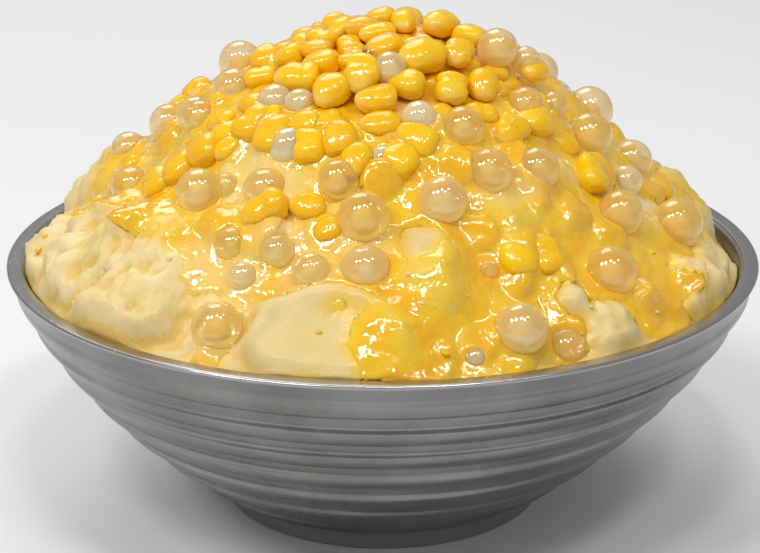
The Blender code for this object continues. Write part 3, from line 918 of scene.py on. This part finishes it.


# Kernels placed one by one: bearing, distance, turn, length, width, share sunk.
KERNELS = (
    (-31, 1.5, 28, 6.8, 5.4, 0.15), (-31, 8.4, 44, 7.8, 5.6, 0.15), (-57, 16.2, 22, 7.8, 5.8, 0.2),
    (-62, 23.4, 40, 7.4, 6.2, 0.2), (-47, 19.5, 20, 7.2, 5.2, 0.25),
    (-38, 28.7, 27, 9.9, 7.6, 0.05), (-35, 23.0, 19, 8.2, 6.4, 0.2),
    (-20, 31.7, 74, 8.4, 7.8, 0.05), (-9, 27.9, 90, 9.6, 8.2, 0.05), (-7, 9.5, 26, 7.8, 5.8, 0.15),
    (1, 19.1, 35, 9.6, 6.2, 0.05), (72, 13.3, -11, 8.7, 7.6, 0.1), (68, 20.5, 60, 7.0, 6.4, 0.0),
    (20, 23.0, 17, 10.2, 8.6, 0.0), (41, 24.6, 34, 7.8, 6.8, 0.05), (-2, 32.6, 13, 8.6, 6.7, 0.05),
    (10, 29.3, -25, 7.8, 6.8, 0.1), (27, 31.8, 60, 8.0, 7.4, 0.1), (42, 32.0, 50, 7.8, 7.0, 0.1),
    (-12, 37.5, 12, 9.4, 6.6, 0.15), (-25, 37.5, 9, 7.2, 5.8, 0.2), (-41, 36.5, 31, 9.6, 6.2, 0.2),
    (40, 40.5, 32, 8.0, 7.6, 0.25), (52, 40.0, -15, 9.0, 7.2, 0.25), (72, 34.0, -20, 7.2, 5.8, 0.2),
    (89, 28.0, -41, 7.0, 5.2, 0.2), (-56, 40.5, 17, 8.2, 5.6, 0.25), (-46, 44.5, 80, 6.4, 5.2, 0.3),
    (-62, 30.0, 238, 7.6, 5.2, 0.1), (-70, 10.0, 130, 7.4, 5.8, 0.2), (50, 6.0, 40, 7.4, 5.8, 0.2),
    (57, 29.0, -21, 6.6, 4.6, 0.2), (-1, 36.5, 8, 8.2, 6.2, 0.25), (-9, 33.8, 30, 7.0, 5.6, 0.40),
    (-19, 36.5, 12, 7.6, 5.8, 0.25), (-30, 33.5, 0, 7.4, 5.6, 0.25), (6, 38.5, -30, 7.0, 5.4, 0.35),
    (19, 35.0, 20, 7.0, 5.6, 0.30), (34, 36.0, -20, 7.2, 5.4, 0.30),
    (-49, 35.0, 20, 7.6, 5.6, 0.25), (-70, 37.5, -20, 7.4, 5.8, 0.3), (62, 38.0, 30, 7.2, 5.6, 0.3),
    (28, 15.9, 2, 7.2, 5.0, 0.25), (-7, 43.5, 80, 8.2, 6.4, 0.25), (22, 44.5, -7, 7.4, 5.4, 0.4),
    (-26, 53.0, 36, 9.6, 7.2, 0.1), (-17, 51.5, 7, 7.4, 5.6, 0.35), (-12, 55.0, 16, 7.0, 5.6, 0.5),
    (-85, 56.0, 23, 8.2, 6.0, 0.35), (-84, 68.5, 17, 6.4, 4.4, 0.4), (-50, 42.5, 29, 8.4, 5.8, 0.3),
    (52, 74.0, -23, 6.4, 4.4, 0.45), (-78, 58.0, 40, 8.0, 6.0, 0.3), (96, 52.0, 10, 8.4, 6.6, 0.3),
)
KERNEL_SHARE_THICK = 0.80
KERNEL_SQUARENESS = 0.80
KERNEL_FULLNESS = 1.04
WAIST_EVERY = 3
DEEP_WAIST = 0.20
SLIGHT_WAIST = 0.04
# Bearing and distance of the kernels that are charred at the tip.
CHARRED = ((1, 19.1), (-62, 30.0))

# Kernels of a clump: the length that the first takes, and the step to the next.
CLUMP_KERNEL = 8.6 * MM
CLUMP_STEP = 6.6 * MM

# Kernels drawn at random: tries, nearest and farthest in millimetres, how deep they
# sink in millimetres, and whether they lie on the crown.
DRAWN_KERNELS = (
    (2400, 0, 35, 2.8, 4.6, True),
    (900, 31, 40, 0.8, 2.2, True),
    (700, 36, 48, 0.6, 1.8, False),
    (260, 46, 66, 0.8, 2.0, False),
)
# The front slope keeps to the listed kernels.
FRONT_BEARING = 75
FRONT_DISTANCE = 46

# The corn heap's core.
CORE_ROWS = 16
CORE_COLUMNS = 96
CORE_LUMP = 0.7 * MM
CORE_LUMP_SIZE = 3.6 * MM

# What the crumbs' finishes need to know; hollow gives the ice crumbs a little of the painted shade that
# darkens the ice's hollows.
CRUMB_FACTS = {"tip": 0.0, "char": 0.0, "soak": 0.25, "hollow": 0.4, "milk": 0.3, "fluff": 0.5}


def kernel_shape(length, width, number, shape):
    """One kernel along Y: a plump block, narrower at its tip, dimpled on top, some with a waist."""
    x, y, z = (np.sign(shape[:, axis]) * np.abs(shape[:, axis]) ** KERNEL_SQUARENESS for axis in range(3))
    taper = 0.70 + 0.30 * smooth_step(-1.05, 0.1, y)
    waist = DEEP_WAIST if number % WAIST_EVERY == 0 else SLIGHT_WAIST
    taper = taper * (1 - waist * np.exp(-(((y - 0.05) / 0.26) ** 2)))
    dent = 0.12 * np.exp(-((x / 0.5) ** 2 + (z / 0.5) ** 2)) * smooth_step(0.5, 1.0, y)
    wide = x * taper * width * KERNEL_FULLNESS
    long = (y - dent) * length * KERNEL_FULLNESS
    thick = z * taper * width * KERNEL_SHARE_THICK
    body = np.stack((wide, long, thick), axis=-1) / 2
    bulge = rows_of_noise(body, 4.6, 1, 7.7 * number)
    puckers = 1 - np.abs(rows_of_noise(body, 2.6, 2, 40 + 7.7 * number)) * 2
    body = body * (1.02 + 0.17 * bulge[:, None]) + shape * (0.11 * puckers[:, None] + 0.02)
    return body * MM, smooth_step(-0.55, -1.0, y)


def surface_tree(*names):
    points = []
    faces = []
    for name in names:
        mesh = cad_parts[name].data
        start = len(points)
        points.extend(v.co for v in mesh.vertices)
        faces.extend(tuple(start + index for index in f.vertices) for f in mesh.polygons)
    return BVHTree.FromPolygons(points, faces)


def seat_frame(tree, bearing, distance, turn, sink, tilt=0.0):
    """Frame on a surface: Z out of it, Y along the turned direction, sunk by sink."""
    x, y = plan(bearing, distance)
    place, normal, _, _ = tree.ray_cast(Vector((x, y, HIGH_ABOVE)), DOWN)
    slope = Vector(slope_normals(np.array(float(x)), np.array(float(y))))
    normal = (normal * 0.35 + slope * 0.65).normalized()
    angle = math.radians(bearing)
    around = Vector((math.cos(angle), math.sin(angle), 0.0))
    around = (around - normal * around.dot(normal)).normalized()
    rotation = Matrix((around, normal.cross(around), normal)).transposed().to_4x4()
    rotation = rotation @ Matrix.Rotation(math.radians(turn - 90), 4, "Z")
    turned = rotation @ Matrix.Rotation(math.radians(tilt), 4, "X")
    turned.translation = place - normal * sink
    return turned


def clump_kernels(name):
    """Frames of the kernels in one CAD clump: they stand side by side along its longest axis."""
    points = np.array([v.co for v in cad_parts[name].data.vertices])
    middle = (points.max(axis=0) + points.min(axis=0)) / 2
    _, vectors = np.linalg.eigh(np.cov((points - points.mean(axis=0)).T))
    outward = np.array((middle[0], middle[1], np.hypot(middle[0], middle[1])))
    z = vectors[:, 0] * np.sign(vectors[:, 0] @ outward)
    x = vectors[:, 2]
    y = np.cross(z, x)
    span = np.ptp((points - middle) @ x)
    count = max(round((span - CLUMP_KERNEL) / CLUMP_STEP) + 1, 1)
    frames = []
    for number in range(count):
        offset = (number - (count - 1) / 2) * CLUMP_STEP
        matrix = Matrix(np.stack((x, y, z), axis=1).tolist()).to_4x4()
        matrix.translation = Vector(middle + x * offset)
        frames.append(matrix)
    return frames


def plan_kernels(balls):
    """Frames and sizes of the crown's kernels, the loose ones on the slope, and the clumps."""
    draw = random.Random(SEED + 1)
    tree = surface_tree("corn_heap", "shaved_ice")
    taken = [(Vector(centre), 1.35 * radius) for centre, radius in balls]
    crown = []
    slope = []
    clumps = []
    names = [name for name in sorted(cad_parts) if name.startswith("corn_") and name != "corn_heap"]
    for name in names:
        for matrix in clump_kernels(name):
            turned = matrix @ Matrix.Rotation(math.radians(draw.uniform(-10, 10)), 4, "Z")
            clumps.append((turned, draw.uniform(8.6, 9.8), draw.uniform(7.1, 7.8), draw.random(), False))
            taken.append((turned.translation.copy(), 4.6 * MM))
    for bearing, distance, turn, length, width, sunk in KERNELS:
        lift = (0.5 - sunk) * KERNEL_SHARE_THICK * width * MM
        on_crown = distance < CROWN_EDGE
        sink = CROWN_SEAT * on_crown - lift
        matrix = seat_frame(tree, bearing, distance * MM, turn, sink, draw.uniform(-12, 12))
        taken.append((matrix.translation.copy(), 0.45 * length * MM))
        charred = (bearing, distance) in CHARRED
        (crown if on_crown else slope).append((matrix, length, width, draw.random(), charred))
    for tries, nearest, farthest, low, high, on_crown in DRAWN_KERNELS:
        for _ in range(tries):
            bearing = draw.uniform(0, 360)
            distance = math.sqrt(draw.uniform(nearest**2, farthest**2))
            length = draw.uniform(7.0, 9.0)
            width = draw.uniform(5.6, 7.0)
            sink = draw.uniform(low, high) * MM
            turn = draw.uniform(0, 360)
            matrix = seat_frame(tree, bearing, distance * MM, turn, sink, draw.uniform(-30, 30))
            near = min((matrix.translation - other).length - size * 0.85 for other, size in taken)
            in_front = abs((bearing + 180) % 360 - 180) < FRONT_BEARING and distance > FRONT_DISTANCE
            if near > 0.36 * length * MM and (on_crown or not in_front):
                taken.append((matrix.translation.copy(), 0.45 * length * MM))
                (crown if on_crown else slope).append((matrix, length, width, draw.random(), False))
    return crown, slope, clumps, names


def make_core(finish):
    """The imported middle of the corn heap, which shows between the loose kernels."""
    tree = surface_tree("corn_heap")
    bearing = np.linspace(0, 360, CORE_COLUMNS, endpoint=False)
    rings = np.zeros((CORE_ROWS, CORE_COLUMNS, 3))
    for row, share in enumerate(np.linspace(0.05, 1.0, CORE_ROWS)):
        x, y = plan(bearing, CORE_REACH * share)
        x = x + CORE_OFFSET * (1 - share)
        floor = ice_level(x, y)
        edge = smooth_step(0.80, 1.0, share)
        for column in range(CORE_COLUMNS):
            hit = tree.ray_cast(Vector((x[column], y[column], HIGH_ABOVE)), DOWN)[0]
            top = hit.z - CORE_SUNK if hit else floor[column]
            lump = CORE_LUMP * noise.noise(Vector((x[column], y[column], 0.0)) / CORE_LUMP_SIZE)
            height = max(top, floor[column]) * (1 - edge) + (floor[column] - 1.5 * MM) * edge + lump
            rings[row, column] = (x[column], y[column], height)
    top = (CORE_OFFSET, 0, rings[0, :, 2].mean())
    mesh = skin("corn_core", rings, top, (0, 0, RIM_LEVEL + 30 * MM))
    for name in ("ripe", "tip", "char"):
        store(mesh, name, np.zeros(len(mesh.vertices)))
    add_piece("corn_core", mesh, finish, "corn", "corn_heap")


def make_corn(crown, slope, clumps, names, finish):
    shape, faces = ball(24, 16)
    ceiling = CAD_BOX[1][2] - TOP_ROOM
    number = 0
    for title, rows, nodes in (
        ("crown_kernels", crown, ("corn_heap",)),
        ("slope_kernels", slope, ()),
        ("corn_clumps", clumps, names),
    ):
        pile = Pile(title)
        for matrix, length, width, ripe, charred in rows:
            number += 1
            points, tip = kernel_shape(length, width, number, shape)
            points = moved(points, matrix)
            points[:, 2] -= max(points[:, 2].max() - ceiling, 0.0)
            pile.put(points, faces, ripe=ripe, tip=tip, char=tip * charred)
        pile.build(finish, "corn", *nodes)


def make_crumbs(ice, sauce, finish, milk):
    """Small bits of corn and of frozen milk lying on the slope."""
    draw = random.Random(SEED + 2)
    shape, faces = ball(10, 7)
    top = np.maximum(ice[..., 2], sauce[..., 2])
    rows, columns = top.shape
    for title, count, low, high, made_of, slot in (
        ("corn_bits", 70, 0.4, 1.0, finish, "corn"),
        ("ice_crumbs", 40, 0.4, 0.9, milk, "ice"),
    ):
        pile = Pile(title)
        for number in range(count):
            row = draw.randrange(CROWN_ROWS + 12, rows - 6)
            column = draw.randrange(columns)
            size = draw.uniform(low, high) * MM
            spot = np.array((*ice[row, column, :2], top[row, column]))
            body = shape * (1 + 0.45 * rows_of_noise(shape, 0.9, 2, 5.0 * number))[:, None]
            body = body * (draw.uniform(0.7, 1.4), draw.uniform(0.6, 1.0), draw.uniform(0.5, 0.8)) * size
            turn = Matrix.Rotation(draw.uniform(0, 6.28), 4, "Z")
            pile.put(spot + moved(body, turn), faces, ripe=draw.random(), **CRUMB_FACTS)
        pile.build(made_of, slot)


def corn_finish():
    corn = Finish(
        "sweetcorn",
        Subsurface_Weight=0.30,
        Subsurface_Scale=0.002,
        Subsurface_Radius=(1.0, 0.68, 0.08),
        IOR=1.45,
        Specular_IOR_Level=0.2,
        Coat_Weight=0.8,
        Coat_Roughness=0.04,
    )
    ripe = corn.measure("ripe")
    tip = corn.measure("tip")
    patchy = corn.grain(3.5 * MM, 3)
    yellow = corn.mix(ripe, (0.95, 0.49, 0.0005), (0.98, 0.59, 0.001))
    yellow = corn.mix(patchy.between(0.45, 0.75) * 0.3, yellow, (0.98, 0.64, 0.03))
    yellow = corn.mix(tip * 0.45, yellow, (0.96, 0.70, 0.20))
    char = corn.measure("char") * corn.grain(1.3 * MM, 3, rough=0.7).between(0.36, 0.50)
    corn.feed("Base Color", corn.mix(char, yellow, (0.05, 0.03, 0.015)))
    corn.feed("Roughness", 0.16 + 0.16 * patchy)
    corn.bump(corn.grain(1.9 * MM, 2, warp=0.8), 0.36 * MM, 0.7)
    return corn


# Stage

SKY_STRENGTH = 0.34
STAGE_MIDDLE = Vector((0, 0, 0.07))
LAMP_BASE = 0.06
# Soft light panels: bearing, height angle, distance, side, power.
PANELS = (
    (-58, 46, 1.3, 0.22, 3.3),
    (-36, 55, 1.3, 0.22, 3.3),
    (2, 66, 1.3, 0.18, 2.2),
    (26, 56, 1.3, 0.16, 1.8),
    (60, 60, 1.3, 0.14, 1.0),
    (-165, 50, 1.5, 0.8, 6.0),
)

# Camera: distance, angle over the rim, lens, and where it aims from the middle of the rim.
CAMERA_REACH = 0.5
CAMERA_RISE = math.radians(18.5)
CAMERA_LENS = 103.5
CAMERA_AIM = Vector((-0.0006, 0, RIM_LEVEL - 0.0073))


def make_stage():
    pale = Finish("pale_floor", Roughness=0.7)
    pale.feed("Base Color", pale.mix(pale.grain(0.3, 2), (0.88, 0.88, 0.88), (0.91, 0.91, 0.91)))
    bpy.ops.mesh.primitive_plane_add(size=8)
    floor = bpy.context.object
    floor.name = "floor"
    floor.data.materials.append(pale.material)
    world = bpy.data.worlds.new("studio")
    bpy.context.scene.world = world
    world.use_nodes = True
    sky = world.node_tree.nodes["Background"]
    sky.inputs["Color"].default_value = (1.0, 1.0, 1.0, 1)
    sky.inputs["Strength"].default_value = SKY_STRENGTH
    for bearing, lift, away, side, power in PANELS:
        panel = bpy.data.lights.new("panel", "AREA")
        panel.shape = "SQUARE"
        panel.size = side
        panel.energy = power
        lamp = bpy.data.objects.new("panel", panel)
        bpy.context.scene.collection.objects.link(lamp)
        x, y = plan(bearing, away * math.cos(math.radians(lift)))
        lamp.location = (x, y, LAMP_BASE + away * math.sin(math.radians(lift)))
        aim = STAGE_MIDDLE - lamp.location
        lamp.rotation_euler = aim.to_track_quat("-Z", "Y").to_euler()


def make_camera():
    camera = bpy.data.cameras.new("camera")
    camera.sensor_width = 36
    camera.lens = CAMERA_LENS
    view = bpy.data.objects.new("camera", camera)
    bpy.context.scene.collection.objects.link(view)
    height = RIM_LEVEL + CAMERA_REACH * math.sin(CAMERA_RISE)
    view.location = (0, -CAMERA_REACH * math.cos(CAMERA_RISE), height)
    aim = CAMERA_AIM - view.location
    view.rotation_euler = aim.to_track_quat("-Z", "Y").to_euler()
    camera.clip_start = 0.01
    bpy.context.scene.camera = view
    bpy.context.scene.view_settings.view_transform = "Standard"


def main():
    big = pearl_spots()
    tree = surface_tree("shaved_ice", "corn_heap")
    small = []
    for bearing, distance, radius, white, sunk in SMALL_PEARLS:
        seat = seat_frame(tree, bearing, distance * MM, 0, -(1 - 2 * sunk) * radius * MM)
        small.append((np.array(seat.translation), radius * MM, white))
    balls = big + [(centre, radius) for centre, radius, _ in small]
    crown, slope, clumps, names = plan_kernels(balls)
    grains = [np.array(row[0].translation) for row in slope + clumps]
    ice, sauce, over, facts = heap_surfaces(balls, grains)
    make_bowl(metal_finish())
    milk = ice_finish()
    make_ice(ice, facts, milk)
    make_sauce(sauce, ice, over, facts, sauce_finish())
    make_pearls(big, small, jelly_finish(), heart_finish())
    sweetcorn = corn_finish()
    make_core(sweetcorn)
    make_corn(crown, slope, clumps, names, sweetcorn)
    make_crumbs(ice, sauce, sweetcorn, milk)
    make_stage()
    make_camera()


main()
